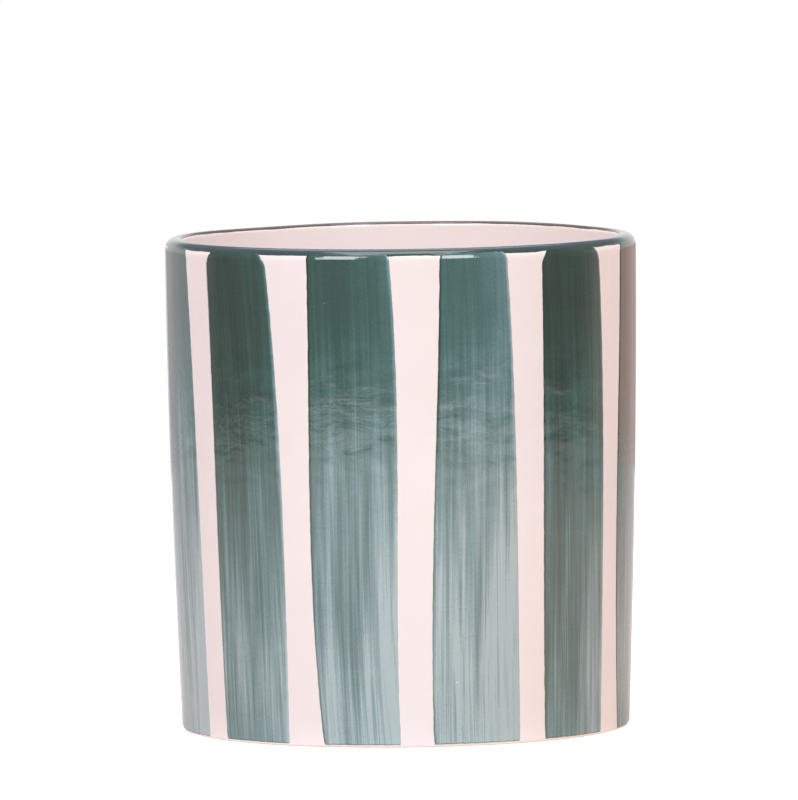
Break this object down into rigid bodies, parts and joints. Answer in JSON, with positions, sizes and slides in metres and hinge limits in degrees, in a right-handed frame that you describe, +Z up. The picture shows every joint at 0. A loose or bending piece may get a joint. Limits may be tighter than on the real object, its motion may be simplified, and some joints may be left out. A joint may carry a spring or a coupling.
{
  "type": "cachepot",
  "caption": "Round glazed ceramic cover pot with upright hand-brushed stripes, a painted lip and a bare foot ring; holds a 12 cm nursery pot.",
  "frame": {"origin": "centre of the foot ring on the surface that the pot stands on", "axes": "+Z up along the pot's axis, -Y towards the side that the picture shows, +X to the right of that side"},
  "size_m": [0.1339, 0.1339, 0.1403],
  "materials": {
    "fired_clay": "matt, bare where it shows at the foot",
    "cream_glaze": "gloss",
    "lip_paint": "gloss",
    "stripe_paint": "gloss, brushed"
  },
  "bodies": {
    "root": {"pot_body": "fired_clay", "outer_glaze": "cream_glaze", "inner_glaze": "cream_glaze", "base_glaze": "cream_glaze", "rim_band": "lip_paint", "stripe_01": "stripe_paint", "stripe_02": "stripe_paint", "stripe_03": "stripe_paint", "stripe_04": "stripe_paint", "stripe_05": "stripe_paint", "stripe_06": "stripe_paint", "stripe_07": "stripe_paint", "stripe_08": "stripe_paint", "stripe_09": "stripe_paint", "stripe_10": "stripe_paint", "stripe_11": "stripe_paint", "stripe_12": "stripe_paint"}
  },
  "joints": []
}
